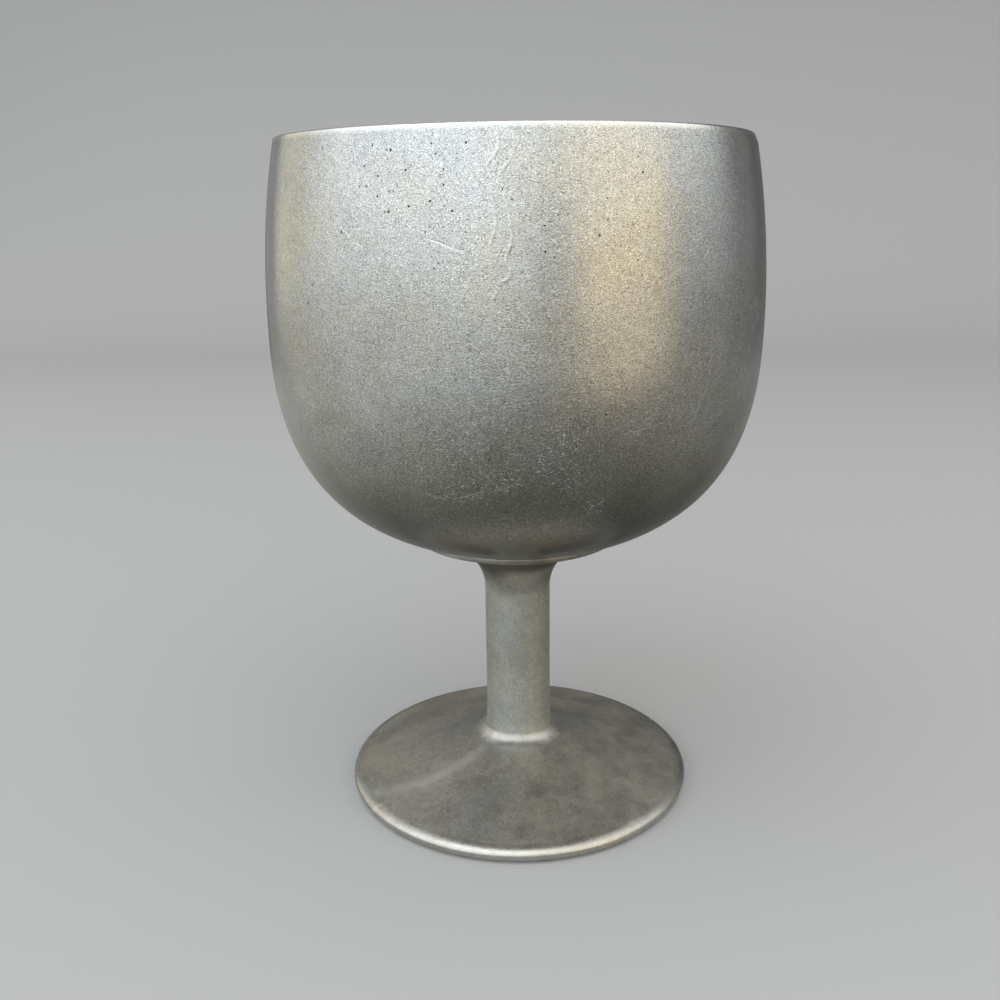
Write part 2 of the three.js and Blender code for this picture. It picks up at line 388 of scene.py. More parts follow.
class Nodes:
    """Short ways to add and join the shader nodes of a material or a world."""

    def __init__(self, owner, shader="Principled BSDF", space="Object"):
        owner.use_nodes = True
        self.tree = owner.node_tree
        self.shader = self.tree.nodes[shader]
        self.place = self.add("ShaderNodeTexCoord").outputs[space]

    def add(self, kind, inputs=None, **settings):
        node = self.tree.nodes.new(kind)
        for key, value in settings.items():
            setattr(node, key, value)
        for key, value in (inputs or {}).items():
            self.put(node.inputs[key], value)
        return node

    def put(self, socket, value):
        if isinstance(value, bpy.types.NodeSocket):
            self.tree.links.new(value, socket)
        else:
            socket.default_value = value

    def feed(self, name, value):
        """Sets an input of the shader, or joins something to it."""
        self.put(self.shader.inputs[name], value)

    def noise(self, size, detail=3.0, rough=0.55, stretch=(1, 1, 1), distort=0.0):
        """Noise from 0 to 1 with features about size metres across."""
        scaled = self.add("ShaderNodeMapping", {"Vector": self.place, "Scale": stretch})
        node = self.add("ShaderNodeTexNoise", {
            "Vector": scaled.outputs["Vector"], "Scale": 1 / size, "Detail": detail,
            "Roughness": rough, "Distortion": distort})
        return node.outputs["Fac"]

    def attribute(self, name):
        return self.add("ShaderNodeAttribute", attribute_name=name).outputs["Fac"]

    def ramp(self, value, low, high, at_low=0.0, at_high=1.0):
        node = self.add("ShaderNodeMapRange", {
            "Value": value, "From Min": low, "From Max": high,
            "To Min": at_low, "To Max": at_high}, interpolation_type="SMOOTHSTEP")
        return node.outputs["Result"]

    def math(self, operation, a, b=0.0):
        node = self.add("ShaderNodeMath", operation=operation)
        self.put(node.inputs[0], a)
        self.put(node.inputs[1], b)
        return node.outputs[0]

    def blend(self, share, a, b):
        node = self.add("ShaderNodeMix", {"Factor": share}, data_type="RGBA")
        self.put(node.inputs["A"], a)
        self.put(node.inputs["B"], b)
        return node.outputs["Result"]

    def bump(self, height, distance, below=None):
        node = self.add("ShaderNodeBump", {"Height": height, "Distance": distance})
        if below is not None:
            self.put(node.inputs["Normal"], below)
        return node.outputs["Normal"]


def rgb(red, green, blue):
    return (red, green, blue, 1.0)


# What tints or covers the cast metal.
WARM_TINT = rgb(0.55, 0.515, 0.42)
COOL_TINT = rgb(0.47, 0.51, 0.54)
# Dull and dark tarnish, also used for painted shade where the mesh asks for it.
DULL_METAL = rgb(0.35, 0.335, 0.30)
DARK_TARNISH_AND_SHADE = rgb(0.125, 0.118, 0.10)
BROWN_STAIN = rgb(0.20, 0.185, 0.155)
# Pore dirt with painted micro-shade, and rubbed peaks with painted glints.
PORE_DIRT_AND_SHADE = rgb(0.14, 0.135, 0.125)
PEAK_WEAR_AND_GLINT = rgb(0.92, 0.93, 0.92)
# Bare metal, also used for painted highlights and a painted reflection.
BARE_METAL_AND_PAINTED_HIGHLIGHT = rgb(0.88, 0.88, 0.86)
PACKED_GRIME = rgb(0.13, 0.125, 0.115)
# Stretches: grain and dust are a little longer round the casting than up and down it.
ROUND_THE_CASTING = (0.7, 0.7, 1.45)
KNOCK_DEPTH = 0.16 * MM
# Hair scratches run round about, up and down, and slantwise.
HAIR_SCRATCHES = ((0.07, 0.07, 1.0), (0.35, 0.35, 0.10), (0.1, 0.5, 0.2))


def cast_metal(name, light, dark, roughness, grain_depth, speckle, patch_size):
    """Dull cast metal: a sandy grain, brownish stains, dark pore specks, and bare metal where it
    has been scratched or worn, with painted shade, painted micro-shade, painted glints and painted
    highlights mixed in. The mesh says how grimy, tarnished or shaded, shiny or painted bright,
    scuffed or matt it is."""
    material = bpy.data.materials.new(name)
    n = Nodes(material)
    patches = n.noise(patch_size, detail=5, distort=0.5)
    clouds = n.noise(9 * MM, detail=6, rough=0.65, distort=0.3)
    mottle = n.noise(1.6 * MM, detail=3)
    grain = n.noise(0.60 * MM, detail=3, rough=0.75, stretch=ROUND_THE_CASTING)
    dust = n.noise(0.19 * MM, detail=1, stretch=ROUND_THE_CASTING)
    hue = n.noise(14 * MM, detail=2)
    grime, tarnish_and_painted_shade, wear_and_painted_highlight, scuff, matt = (n.attribute(layer) for layer in LAYERS)
    facing = n.add("ShaderNodeLayerWeight", {"Blend": 0.5}).outputs["Facing"]
    # Seen at a glancing angle, metal that isn't matt looks smoother and more even.
    glance = n.math("MULTIPLY", n.ramp(facing, 0.42, 0.82), n.math("SUBTRACT", 1.0, matt))
    evened = n.math("SUBTRACT", 1.0, n.math("MULTIPLY", glance, 0.55))

    # Light and dark patches, then tints, tarnish with painted shade, and stains.
    shade = n.math("ADD", n.math("MULTIPLY", patches, 0.35), n.math("MULTIPLY", mottle, 0.40))
    shade = n.math("ADD", shade, n.math("MULTIPLY", grain, 0.40))
    metal = n.blend(n.ramp(shade, 0.48, 0.67), dark, light)
    metal = n.blend(n.ramp(hue, 0.50, 0.66, 0, 0.32), metal, WARM_TINT)
    metal = n.blend(n.ramp(hue, 0.50, 0.34, 0, 0.28), metal, COOL_TINT)
    metal = n.blend(n.ramp(tarnish_and_painted_shade, 0, 0.70), metal, DULL_METAL)
    metal = n.blend(n.ramp(tarnish_and_painted_shade, 0.50, 0.90), metal, DARK_TARNISH_AND_SHADE)
    stains = n.ramp(clouds, 0.40, 0.72, 0, 0.42)
    stains = n.math("MULTIPLY", stains, n.ramp(tarnish_and_painted_shade, 0, 0.35, 0.22, 1.0))
    metal = n.blend(stains, metal, BROWN_STAIN)

    # Dark pores and bright peaks: dirt in the pores and rubbed peaks, with painted micro-shade in
    # the pores and painted glints on the peaks. Fewer where the tarnish and painted shade mask is
    # high, or where the metal is seen at a glancing angle.
    specks = n.math("MULTIPLY", n.ramp(tarnish_and_painted_shade, 0.35, 0.9, speckle, 0.3 * speckle), evened)
    pore_dirt_and_shade = n.math("MULTIPLY", specks, n.ramp(dust, 0.52, 0.74))
    peak_wear_and_glints = n.math("MULTIPLY", specks, n.ramp(dust, 0.48, 0.26))
    metal = n.blend(pore_dirt_and_shade, metal, PORE_DIRT_AND_SHADE)
    metal = n.blend(peak_wear_and_glints, metal, PEAK_WEAR_AND_GLINT)

    # Bare metal in small knocks where the mesh is scuffed, and wherever it is rubbed; the same
    # colour paints highlights and a reflection streak where the mesh asks for them.
    dashes = n.noise(0.42 * MM, detail=2, stretch=(0.7, 0.7, 1.4), distort=1.2)
    knocks = n.math("MULTIPLY", scuff, n.ramp(dashes, 0.61, 0.68))
    bare = n.math("MULTIPLY", knocks, 0.8)
    bare = n.math("MAXIMUM", bare, n.math("MULTIPLY", wear_and_painted_highlight, 0.8))
    metal = n.blend(bare, metal, BARE_METAL_AND_PAINTED_HIGHLIGHT)
    n.feed("Base Color", n.blend(grime, metal, PACKED_GRIME))
    n.feed("Metallic", 1.0)

    rough = n.math("ADD", n.ramp(patches, 0.3, 0.7, roughness - 0.02, roughness + 0.04),
                   n.math("MULTIPLY", n.math("SUBTRACT", grain, 0.5), 0.25))
    rough = n.math("SUBTRACT", rough, n.math("MULTIPLY", bare, 0.12))
    rough = n.math("ADD", rough, n.math("MULTIPLY", matt, 0.15))
    rough = n.math("ADD", rough, n.math("MULTIPLY", grime, 0.35))
    n.feed("Roughness", n.math("MULTIPLY", rough, evened))

    surface = n.bump(grain, grain_depth)
    surface = n.bump(n.noise(1.5 * MM, detail=2), grain_depth * 0.35, surface)
    surface = n.bump(knocks, KNOCK_DEPTH, surface)
    for stretch in HAIR_SCRATCHES:
        scratch = n.ramp(n.noise(0.7 * MM, detail=1, stretch=stretch, distort=0.4), 0.72, 0.80)
        surface = n.bump(scratch, grain_depth * 0.12, surface)
    n.feed("Normal", surface)
    return material


def plated_steel(name, colour, roughness):
    """Machined fastener steel with faint tool marks and a few dull stains."""
    material = bpy.data.materials.new(name)
    n = Nodes(material)
    stains = n.ramp(n.noise(2.2 * MM, detail=4), 0.45, 0.75)
    n.feed("Base Color", n.blend(stains, colour, rgb(0.22, 0.19, 0.16)))
    n.feed("Metallic", 1.0)
    n.feed("Roughness", n.ramp(stains, 0, 1, roughness, roughness + 0.25))
    marks = n.noise(0.25 * MM, detail=2, stretch=(0.5, 0.5, 3))
    n.feed("Normal", n.bump(marks, 0.012 * MM))
    return material


CUP_METAL = cast_metal(
    "cast_metal_cup", light=rgb(0.56, 0.56, 0.545), dark=rgb(0.46, 0.45, 0.43),
    roughness=0.31, grain_depth=0.052 * MM, speckle=0.95, patch_size=26 * MM)
COLLAR_METAL = cast_metal(
    "cast_metal_collar", light=rgb(0.45, 0.43, 0.385), dark=rgb(0.30, 0.285, 0.25),
    roughness=0.32, grain_depth=0.015 * MM, speckle=0.15, patch_size=9 * MM)
STEM_METAL = cast_metal(
    "cast_metal_stem", light=rgb(0.58, 0.59, 0.55), dark=rgb(0.47, 0.475, 0.44),
    roughness=0.34, grain_depth=0.022 * MM, speckle=0.45, patch_size=12 * MM)
FOOT_METAL = cast_metal(
    "cast_metal_foot", light=rgb(0.50, 0.475, 0.415), dark=rgb(0.405, 0.38, 0.33),
    roughness=0.34, grain_depth=0.022 * MM, speckle=0.25, patch_size=12 * MM)
ROD_STEEL = plated_steel("rod_steel", rgb(0.52, 0.52, 0.53), 0.30)
WASHER_STEEL = plated_steel("washer_steel", rgb(0.58, 0.58, 0.59), 0.26)
SPRING_STEEL = plated_steel("spring_steel", rgb(0.20, 0.20, 0.21), 0.34)
NUT_STEEL = plated_steel("nut_steel", rgb(0.55, 0.55, 0.56), 0.28)


# ---- cup ------------------------------------------------

CUP_SIDES = 420
OUTSIDE_STEP = 0.88 * MM
INSIDE_STEP = 2.6 * MM


def cup_outline():
    """From the top of the tapped hole, round the spigot and seat, up the outside, over the rim
    and down inside to the axis. Also gives the first row of the outside and its last."""
    hole_top = SPIGOT_BOTTOM + TAPPED_DEPTH
    rounding_height = RIM_HEIGHT - RIM_ROUNDING
    lip_outer = RIM_RADIUS - RIM_ROUNDING
    lip_inner = RIM_RADIUS - RIM_WALL + RIM_ROUNDING
    lower = [p for p in round_underside(BELLY_RADIUS, CUP_DROP, CUP_FULLNESS, COLLAR_RADIUS)
             if p[1] > SEAT_HEIGHT]
    underside = joined(
        [(0, hole_top), (FASTENER_BORE, hole_top), (FASTENER_BORE, SPIGOT_BOTTOM),
         (SPIGOT_RADIUS - SPIGOT_CHAMFER, SPIGOT_BOTTOM),
         (SPIGOT_RADIUS, SPIGOT_BOTTOM + SPIGOT_CHAMFER), (SPIGOT_RADIUS, SEAT_HEIGHT)],
        line((SPIGOT_RADIUS, SEAT_HEIGHT), (COLLAR_RADIUS, SEAT_HEIGHT), 2 * MM))
    outside = joined(
        evenly(lower[::-1], OUTSIDE_STEP),
        upper_wall(BELLY_RADIUS, RIM_RADIUS, rounding_height, OUTSIDE_STEP))
    rim = joined(
        arc(lip_outer, rounding_height, RIM_ROUNDING, 0, QUARTER_TURN, 0.2 * MM),
        arc(lip_inner, rounding_height, RIM_ROUNDING, QUARTER_TURN, math.pi, 0.2 * MM))
    inside = joined(
        upper_wall(BELLY_RADIUS - BELLY_WALL, RIM_RADIUS - RIM_WALL, rounding_height,
                   INSIDE_STEP)[::-1],
        evenly(round_underside(BELLY_RADIUS - BELLY_WALL, BELLY_HEIGHT - CUP_FLOOR_HEIGHT,
                               HOLLOW_FULLNESS, 0), INSIDE_STEP))
    inside[-1] = (0, CUP_FLOOR_HEIGHT)
    outline = joined(underside, outside, rim, inside)
    first = len(underside)
    return outline, first, first + len(outside) - 2


# Places on the outside of the cup are given by their azimuth from the front, in degrees, and
# their height in mm. Flow marks are low wavy ridges where the metal met itself in the mould.
FLOW_MARKS = (
    ((0, 149), (0, 146), (-0.5, 144), (-2.5, 141.5), (-3, 139), (-1.8, 137.5), (-1, 135),
     (-0.5, 131), (-1.6, 127.5), (-0.8, 125.5), (-1.4, 124.2), (-3, 123.4), (-3.8, 121)),
    ((-3, 148.5), (-3.3, 145), (-5, 143), (-4, 140), (-4.6, 137), (-3.4, 134), (-4.4, 130)),
)
# Scratches that show: (width in mm, depth in mm, places).
SCRATCHES = (
    (0.30, 0.05, ((-15.6, 130.9), (-12.7, 129.9), (-9.5, 128.8))),
    (0.20, 0.03, ((-17, 131.2), (-14, 130.4), (-11.5, 129.4))),
    (0.24, 0.04, ((-34.9, 132.5), (-33.6, 131.5))),
    (0.20, 0.03, ((-32.6, 130.7), (-30.2, 129.6))),
    (0.22, 0.04, ((41.4, 128.8), (39.9, 127))),
    (0.30, 0.05, ((-59, 142), (-57.6, 140.6), (-58, 139.4))),
    (0.24, 0.04, ((-52.5, 101.5), (-50, 100), (-47.5, 99.6), (-45.5, 99))),
    (0.20, 0.03, ((-50.5, 103), (-48.5, 101.5))),
    (0.22, 0.03, ((-14, 83.5), (-9, 85), (-5.5, 85.6), (-2, 86.4), (0.5, 88.2))),
    (0.18, 0.03, ((-7.5, 90), (-5, 87.5), (-3.5, 85.8))),
    (0.18, 0.03, ((-20.5, 84.5), (-18, 83.8), (-16, 83.6))),
    (0.18, 0.02, ((42.5, 110), (43, 106), (41, 101), (38.5, 96.5))),
    (0.18, 0.02, ((22.5, 96.3), (26, 96.6), (31, 97.4))),
)
# The larger blowholes that show at the front.
BLOWHOLES = (
    (-42.3, 148.3), (-48.6, 143.2), (-24.3, 145.2), (-25.2, 145.2), (-29, 148.2), (-27, 140.8),
    (-26, 140.2), (-31.6, 139.8), (-29.7, 139.5), (-21.1, 141.9), (-22.7, 139.8), (-24.6, 138.2),
    (-23.5, 138.2), (-26.7, 138), (-30.4, 142.5), (-25.2, 135.5), (-24.2, 135.5), (-15.9, 136.5),
    (-20.3, 136), (-11.6, 135), (-11, 144.5), (-10.4, 143.4), (-15.2, 144.7), (-13.1, 132.6),
    (-16.2, 132.4), (-17, 131.4), (-8.9, 131.9), (-14.1, 126.8), (-14.8, 126), (-9.1, 148.3),
    (-16, 147), (-13.4, 142.3), (-13.7, 139.6), (15.9, 130.8), (-2.4, 138.3), (-0.4, 137.2),
)
# The least and largest radius of those, in mm, and their depth as a share of the radius.
BLOWHOLE_SIZE = (0.12, 0.24)
BLOWHOLE_DEPTH = (0.9, 1.4)
# Small ones are scattered all round: least, largest and commonest radius and height, in mm.
SMALL_BLOWHOLES = 250
SMALL_BLOWHOLE_SIZE = (0.09, 0.22, 0.11)
SMALL_BLOWHOLE_HEIGHT = (66, 149, 140)
# They lie in clusters about this far apart.
CLUSTER_SIZE = 25 * MM
# Places rubbed by the cup's neighbours: (azimuth, height in mm, radius in mm).
SCUFFS = (
    (-8.5, 86.2, 3.0), (-14.5, 84.3, 2.5), (-20, 88.5, 1.5), (-2, 88, 2.5), (-12, 95.5, 4),
    (-13.5, 104, 2.5), (-19, 99, 2), (-7, 101, 4), (1, 95.5, 2), (7, 94, 3), (10.5, 95.5, 2.5),
    (25.5, 97, 2), (11, 87.3, 2.5), (18, 81.5, 2), (7, 90, 1.8), (-34, 132, 3), (-30, 129.5, 2.5),
    (41, 128, 2), (20, 131, 3), (-59, 141, 2.5), (-50, 100.5, 2.5), (-30, 113, 4), (-22, 118, 5),
    (-12, 115, 5), (-35, 121, 3), (-2, 116, 3), (42, 109, 3), (22, 120, 3), (-15, 110, 4),
)
# More of them are scattered round the back, within these azimuths, heights and radii.
BACK_SCUFFS = 60
BACK_AZIMUTH = (50, 300)
BACK_HEIGHT = (76, 146)
BACK_SCUFF_RADIUS = (1.5, 4)
# The rim's outer edge is rounded over most at this azimuth. It is rubbed bare down to this far
# below the top, and less and less over the last stretch.
RIM_WEAR = 1.5 * MM
RIM_WEAR_AZIMUTH = 82
RIM_SHINE = 0.85
RIM_SHINE_DEPTH = 0.9 * MM
RIM_SHINE_FADE = 0.5 * MM
# Below this height the cup is duller, browner and darker, more so towards the bottom.
DARKENING_TOP = 104 * MM


def cup_radius(height):
    """Radius of the outside of the cup at a height."""
    if height >= BELLY_HEIGHT:
        radius = lean_radius(BELLY_RADIUS, RIM_RADIUS, RIM_HEIGHT - RIM_ROUNDING)
        return BELLY_RADIUS - radius + math.sqrt(radius ** 2 - (height - BELLY_HEIGHT) ** 2)
    sine = ((BELLY_HEIGHT - height) / CUP_DROP) ** (CUP_FULLNESS / 2)
    return BELLY_RADIUS * math.sqrt(1 - sine * sine) ** (2 / CUP_FULLNESS)


def on_cup(azimuth, height_mm):
    """A point on the cup, from its azimuth and its height."""
    height = height_mm * MM
    radius = cup_radius(height)
    angle = math.radians(azimuth - 90)
    return Vector((radius * math.cos(angle), radius * math.sin(angle), height))


def smooth_route(places):
    """A curve of short steps over the cup through a few places on it."""
    steps = 6
    route = []
    for i in range(len(places) - 1):
        before, start, end, after = (places[min(max(k, 0), len(places) - 1)]
                                     for k in (i - 1, i, i + 1, i + 2))
        for j in range(steps):
            t = j / steps
            place = [0.5 * (2 * b + (c - a) * t + (2 * a - 5 * b + 4 * c - d) * t * t
                            + (3 * b - a - 3 * c + d) * t ** 3)
                     for a, b, c, d in zip(before, start, end, after)]
            route.append(on_cup(*place))
    return route + [on_cup(*places[-1])]


def nearest_face(grid, rows, azimuth, height):
    """The four-sided face of the outside that holds a place on it."""
    column = int(CUP_SIDES * ((azimuth - 90) % 360) / 360)

    def away(row):
        face = grid[row][column]
        return abs(face.verts[0].co.z - height) if face.is_valid else 1.0

    return grid[min(range(*rows), key=away)][column]


def sink_blowholes(bm, grid, rows, chance):
    """Sinks the larger blowholes first, then the small ones, and only one in any face."""
    places = [(azimuth, height * MM, chance.uniform(*BLOWHOLE_SIZE))
              for azimuth, height in BLOWHOLES]
    while len(places) < len(BLOWHOLES) + SMALL_BLOWHOLES:
        azimuth = chance.uniform(-180, 180)
        height = chance.triangular(*SMALL_BLOWHOLE_HEIGHT) * MM
        spot = at(cup_radius(height), math.radians(azimuth), height, CLUSTER_SIZE)
        if noise.noise(spot) > -0.1:
            places.append((azimuth, height, chance.triangular(*SMALL_BLOWHOLE_SIZE)))
    for azimuth, height, size in places:
        face = nearest_face(grid, rows, azimuth, height)
        if face.is_valid:
            pit(bm, face, size * MM, size * MM * chance.uniform(*BLOWHOLE_DEPTH), chance)


def rub(bm, chance):
    """Marks the metal as scuffed round some places on it, less and less further out."""
    marked = list(SCUFFS)
    for _ in range(BACK_SCUFFS):
        marked.append((chance.uniform(*BACK_AZIMUTH), chance.uniform(*BACK_HEIGHT),
                       chance.uniform(*BACK_SCUFF_RADIUS)))
    places = [(on_cup(azimuth, height), size * MM) for azimuth, height, size in marked]
    scuff = bm.verts.layers.float["scuff"]
    for vert in bm.verts:
        for place, size in places:
            away = (vert.co - place).length_squared / (size * size)
            if away < 6:
                vert[scuff] = max(vert[scuff], math.exp(-away))


def darken_cup_towards_bottom(bm):
    tarnish_and_painted_shade = bm.verts.layers.float["tarnish_and_painted_shade"]
    for vert in bm.verts:
        low = (DARKENING_TOP - vert.co.z) / (DARKENING_TOP - SEAT_HEIGHT)
        drift = 0.12 * noise.noise(vert.co / (14 * MM))
        vert[tarnish_and_painted_shade] = clamped(low + drift) ** 0.8 if low > -0.1 else 0.0


def wear_rim(bm):
    """Rounds the rim's outer edge over, most of all on one side, and rubs it bare."""
    wear_and_painted_highlight = bm.verts.layers.float["wear_and_painted_highlight"]
    for vert in bm.verts:
        radius = math.hypot(vert.co.x, vert.co.y)
        if vert.co.z < RIM_HEIGHT - RIM_WEAR or radius < RIM_RADIUS - RIM_WALL / 2:
            continue
        high = (vert.co.z - RIM_HEIGHT + RIM_SHINE_DEPTH) / RIM_SHINE_FADE
        vert[wear_and_painted_highlight] = RIM_SHINE * clamped(high)
        angle = math.atan2(vert.co.y, vert.co.x)
        turn = math.cos(angle - math.radians(RIM_WEAR_AZIMUTH - 90))
        size = RIM_ROUNDING + (RIM_WEAR - RIM_ROUNDING) * max(0.0, turn) ** 5
        out = radius - (RIM_RADIUS - size)
        up = vert.co.z - (RIM_HEIGHT - size)
        if out > 0 and up > 0 and math.hypot(out, up) > size:
            pull = size / math.hypot(out, up)
            new_radius = RIM_RADIUS - size + out * pull
            vert.co.x *= new_radius / radius
            vert.co.y *= new_radius / radius
            vert.co.z = RIM_HEIGHT - size + up * pull


def cup():
    outline, first_row, last_row = cup_outline()
    cast = cast_relief(swell=0.07 * MM, grain=0.014 * MM, seed=3.1)

    def relief(radius, angle, height):
        return cast(radius, angle, height) if height > SEAT_HEIGHT + 0.05 * MM else 0.0

    bm, grid = turned_mesh(outline, CUP_SIDES, relief, closed=False)
    chance = random.Random(11)
    sink_blowholes(bm, grid, (first_row + 2, last_row - 2), chance)
    for places in FLOW_MARKS:
        mark(bm, smooth_route(places), width=0.50 * MM, height=0.07 * MM, gloss=0.28)
    for width, depth, places in SCRATCHES:
        mark(bm, smooth_route(places), width * MM, -depth * MM, gloss=0.9)
    wear_rim(bm)
    rub(bm, chance)
    darken_cup_towards_bottom(bm)
    return as_object("cup_casting", bm, CUP_METAL, "bowl")


# ---- collar, stem and foot ------------------------------

COLLAR_WEAR = 0.03 * MM


def collar():
    outline = disc_outline(SPIGOT_RADIUS + SPIGOT_CLEARANCE, COLLAR_RADIUS,
                           bottom_of("seat_collar"), top_of("seat_collar"), COLLAR_ROUNDING,
                           flat_step=1.5 * MM, round_step=0.12 * MM)
    uneven = cast_relief(swell=0.03 * MM, grain=0.008 * MM, seed=8.4)

    def relief(radius, angle, height):
        outside = radius > COLLAR_RADIUS - COLLAR_ROUNDING
        return uneven(radius, angle, height) - COLLAR_WEAR if outside else 0.0

    bm, _ = turned_mesh(outline, 240, relief)
    tarnish_and_painted_shade = bm.verts.layers.float["tarnish_and_painted_shade"]
    for vert in bm.verts:
        vert[tarnish_and_painted_shade] = clamped(0.35 + 1.2 * noise.noise(vert.co / (9 * MM)), 0.0, 0.9)
    return as_object("collar_disc", bm, COLLAR_METAL, "seat_collar")


# Stem and foot were rubbed down together, so their relief runs on across the joint.
column_relief = cast_relief(swell=0.05 * MM, grain=0.012 * MM, seed=5.7)


def stem():
    bottom = HUB_HEIGHT + 0.01 * MM
    top = top_of("stem")
    lip_radius = radius_of("stem")
    centre = STEM_RADIUS + FLARE_WIDTH
    flare_start = top - FLARE_HEIGHT
    end = math.pi - math.acos((centre - lip_radius) / FLARE_WIDTH)
    pocket = SPIGOT_RADIUS + SPIGOT_CLEARANCE
    pocket_bottom = SPIGOT_BOTTOM - SPIGOT_CLEARANCE
    step = 0.7 * MM
    outline = joined(
        line((ROD_BORE_RADIUS, bottom), (STEM_RADIUS + BASE_FLARE, bottom), 1.5 * MM),
        [(STEM_RADIUS + BASE_FLARE * max(0.0, 1 - (z - bottom) / BASE_FLARE_HEIGHT) ** 2, z)
         for _, z in line((STEM_RADIUS, bottom), (STEM_RADIUS, flare_start), step)],
        [(centre + FLARE_WIDTH * x, flare_start + FLARE_HEIGHT * z)
         for x, z in arc(0, 0, 1, math.pi, end, 0.045)],
        line((lip_radius, top), (pocket, top), 2 * MM),
        [(pocket, pocket_bottom), (ROD_BORE_RADIUS, pocket_bottom)],
        line((ROD_BORE_RADIUS, pocket_bottom), (ROD_BORE_RADIUS, bottom + step), 4 * MM))

    def relief(radius, angle, height):
        outside = radius > STEM_RADIUS - 0.01 * MM and height < top - 0.01 * MM
        return column_relief(radius, angle, height) if outside else 0.0

    bm, _ = turned_mesh(outline, 168, relief)
    matt = bm.verts.layers.float["matt"]
    tarnish_and_painted_shade = bm.verts.layers.float["tarnish_and_painted_shade"]
    for vert in bm.verts:
        vert[matt] = 1.0
        # Darker and duller towards the top of the flare, under the collar, with a random drift.
        low = (top - vert.co.z) / FLARE_HEIGHT
        drift = 0.35 * noise.noise(vert.co / (5 * MM))
        vert[tarnish_and_painted_shade] = clamped(1.35 - 1.25 * low + drift, 0.0, 0.9)
    return as_object("stem_casting", bm, STEM_METAL, "stem")


def hub_fillet():
    """An elliptical sweep from the cone up to the stem. It meets both of them without a kink."""
    lean = math.atan(2 * BASE_FLARE / BASE_FLARE_HEIGHT * HUB_FILLET_HEIGHT / HUB_FILLET_WIDTH)
    start = math.atan(math.tan(CONE_ANGLE) * HUB_FILLET_WIDTH / HUB_FILLET_HEIGHT)
    centre_radius = STEM_RADIUS + BASE_FLARE + HUB_FILLET_WIDTH * math.cos(lean)
    centre_height = HUB_HEIGHT + HUB_FILLET_HEIGHT * math.sin(lean)
    unit = arc(0, 0, 1, 1.5 * math.pi - start, math.pi + lean, 0.08)
    return [(centre_radius + HUB_FILLET_WIDTH * x, centre_height + HUB_FILLET_HEIGHT * z)
            for x, z in unit]


# A painted reflection: a paler streak painted across the foot, from near the stem out to the left:
# (azimuth from the front in degrees, radius in mm).
PAINTED_REFLECTION_STREAK = ((-41, 9.5), (-44, 17), (-51, 28), (-61, 38))
PAINTED_STREAK_WIDTH = 1.6 * MM
PAINTED_STREAK_BRIGHTNESS = 0.40
# The round edge is rubbed too. A ring on the hub's fillet is rubbed and brightened as a painted
# highlight. All but the edge is matt.
EDGE_SHINE = 0.18
HUB_WEAR_AND_HIGHLIGHT = 0.40
HUB_RING_RADIUS = STEM_RADIUS + 2.4 * MM
HUB_RING_WIDTH = 1.6 * MM
MATT_RADIUS = FOOT_RADIUS - 1 * MM
MATT_FADE = 1.5 * MM
# Grinding marks fan out from the stem, this far to each side of the fillet's middle.
GRINDING_RADIUS = STEM_RADIUS + 2.5 * MM
GRINDING_REACH = 3 * MM
GRINDING_WIDTH = 0.7 * MM
GRINDING_LENGTH = 6 * MM
GRINDING_DEPTH = 0.05 * MM
# Nicks in the foot's edge: (azimuth, width in mm, depth in mm).
EDGE_NICKS = ((-53.8, 0.5, 0.14), (-51, 0.8, 0.06), (39, 0.8, 0.10), (43, 0.5, 0.06),
              (118, 0.7, 0.12), (-131, 0.6, 0.09), (171, 0.9, 0.1))


def foot_outline():
    """From the resting ring up the edge, over the cone to the hub, down the bore and back along
    the hollow underside."""
    edge_centre = FOOT_RADIUS - EDGE_ROUNDING
    ring_inner = edge_centre - RESTING_RING_WIDTH
    shoulder_centre = FOOT_RADIUS - EDGE_SHOULDER
    shoulder_end = math.atan(EDGE_ROUNDING / (EDGE_SHOULDER * math.tan(CONE_ANGLE)))
    edge = joined(
        arc(edge_centre, EDGE_ROUNDING, EDGE_ROUNDING, -QUARTER_TURN, 0, 0.3 * MM),
        [(shoulder_centre + EDGE_SHOULDER * x, EDGE_ROUNDING * (1 + z))
         for x, z in arc(0, 0, 1, 0, shoulder_end, 0.11)])
    fillet = hub_fillet()
    outer, inner = edge[-1], fillet[0]

    def cone_height(radius):
        along = (outer[0] - radius) / (outer[0] - inner[0])
        straight = outer[1] + (inner[1] - outer[1]) * along
        return straight - 4 * CONE_SAG * along * (1 - along)

    cone = [(r, cone_height(r)) for r, _ in line((outer[0], 0), (inner[0], 0), 0.7 * MM)]
    ceiling_inner = HUB_BOSS_RADIUS + 1 * MM
    ceiling = [(r, cone_height(r) - FOOT_WALL)
               for r, _ in line((ceiling_inner, 0), (ring_inner, 0), 1.4 * MM)]
    return joined(
        line((ring_inner, 0), (edge_centre, 0), 1 * MM),
        edge, cone, fillet,
        line(fillet[-1], (ROD_BORE_RADIUS, HUB_HEIGHT), 1.5 * MM),
        line((ROD_BORE_RADIUS, HUB_HEIGHT), (ROD_BORE_RADIUS, HUB_BOSS_HEIGHT), 2 * MM),
        line((ROD_BORE_RADIUS, HUB_BOSS_HEIGHT), (HUB_BOSS_RADIUS, HUB_BOSS_HEIGHT), 1.5 * MM),
        ceiling,
        line(ceiling[-1], (ring_inner, 0.3 * MM), 0.7 * MM))


